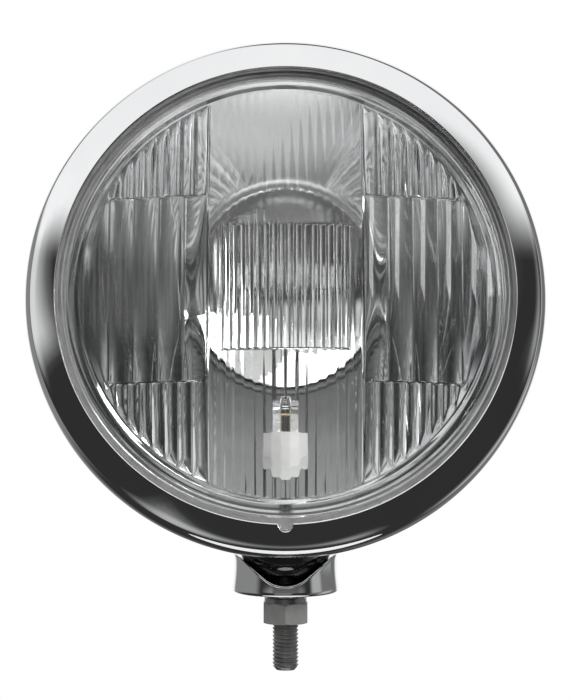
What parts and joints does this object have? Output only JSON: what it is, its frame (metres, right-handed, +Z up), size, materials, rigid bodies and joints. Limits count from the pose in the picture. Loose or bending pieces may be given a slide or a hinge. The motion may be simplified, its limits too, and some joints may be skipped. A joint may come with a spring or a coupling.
{
  "type": "auxiliary driving light",
  "caption": "Round auxiliary driving lamp: chromed bowl and rim, domed fluted glass lens, reflector and bulbs, on a panning, tilting foot with a threaded mounting stud.",
  "frame": {"origin": "on the stud axis at the bracket seat, the underside of the collar below the foot", "axes": "+Z up along the stud, away from its free end; the lamp faces -Y; +X to the right as seen from in front of the lamp's glass, looking along +Y"},
  "size_m": [0.1974, 0.1283, 0.2427],
  "materials": {
    "chrome": "polished chrome plate",
    "chrome_dark": "dark polished plate",
    "zinc_steel": "bright zinc plate",
    "spring_steel": "spring steel",
    "stud_steel": "dark oiled thread",
    "nut_steel": "satin zinc plate",
    "lens_glass": "clear pressed glass",
    "bulb_glass": "clear bulb glass",
    "reflector_silver": "vacuum aluminised",
    "filament": "coil on coppered posts",
    "tungsten": "tungsten coil",
    "rubber_grey": "grey rubber",
    "brass": "plain brass blade",
    "rubber_black": "black rubber",
    "white_plastic": "nylon sleeve",
    "ivory_plastic": "pale moulded holder",
    "black_plastic": "moulded block",
    "lead_red": "insulated lead",
    "lead_blue": "insulated lead",
    "lead_brown": "insulated lead"
  },
  "bodies": {
    "mount": {"mounting_stud": "stud_steel", "clamp_dome": "zinc_steel", "dome_spring": "spring_steel", "seat_collar": "chrome"},
    "foot": {"foot_socket": "chrome"},
    "nut_washer": {"lock_washer": "spring_steel"},
    "nut": {"mounting_nut": "nut_steel"},
    "clip": {"bulb_clip": "spring_steel"},
    "head": {"front_rim": "chrome", "rim_screws": "zinc_steel", "rim_seal": "rubber_grey", "lens_glass": "lens_glass", "lens_seal": "rubber_grey", "reflector": "reflector_silver", "bowl_seal": "rubber_black", "housing_bowl": "chrome", "bulb_seat": "zinc_steel", "clip_bracket": "zinc_steel", "main_bulb_base": "zinc_steel", "main_bulb_glass": "bulb_glass", "main_bulb_filament": "tungsten", "main_bulb_blade": "brass", "main_connector": "white_plastic", "main_lead": "lead_red", "position_holder": "ivory_plastic", "position_bulb_glass": "bulb_glass", "position_filament": "filament", "position_lead": "lead_blue", "earth_lead": "lead_brown", "terminal_block": "black_plastic", "terminal_screw": "zinc_steel", "cable_grommet": "rubber_black", "swivel_knuckle": "chrome_dark", "knuckle_rivets": "zinc_steel"}
  },
  "joints": [
    {"name": "head_pan", "type": "hinge", "parent": "mount", "child": "foot", "pos_m": [0, 0, 0], "axis": [0, 0, 1], "range_deg": [-180, 180]},
    {"name": "head_tilt", "type": "hinge", "parent": "foot", "child": "head", "pos_m": [0, 0, 0.0232], "axis": [1, 0, 0], "range_deg": [-5, 25]},
    {"name": "nut_travel", "type": "slide", "parent": "mount", "child": "nut_washer", "axis": [0, 0, -1], "range_m": [0, 0.0151]},
    {"name": "nut_turn", "type": "hinge", "parent": "nut_washer", "child": "nut", "pos_m": [0, 0, 0], "axis": [0, 0, -1], "range_deg": [0, 3600]},
    {"name": "clip_swing", "type": "hinge", "parent": "head", "child": "clip", "pos_m": [0, 0.03733, 0.09463], "axis": [-1, 0, 0], "range_deg": [0, 95]}
  ],
  "couplings": [
    {"joint": "nut_travel", "follows": "nut_turn", "m_per_rad": 0.00023873}
  ]
}
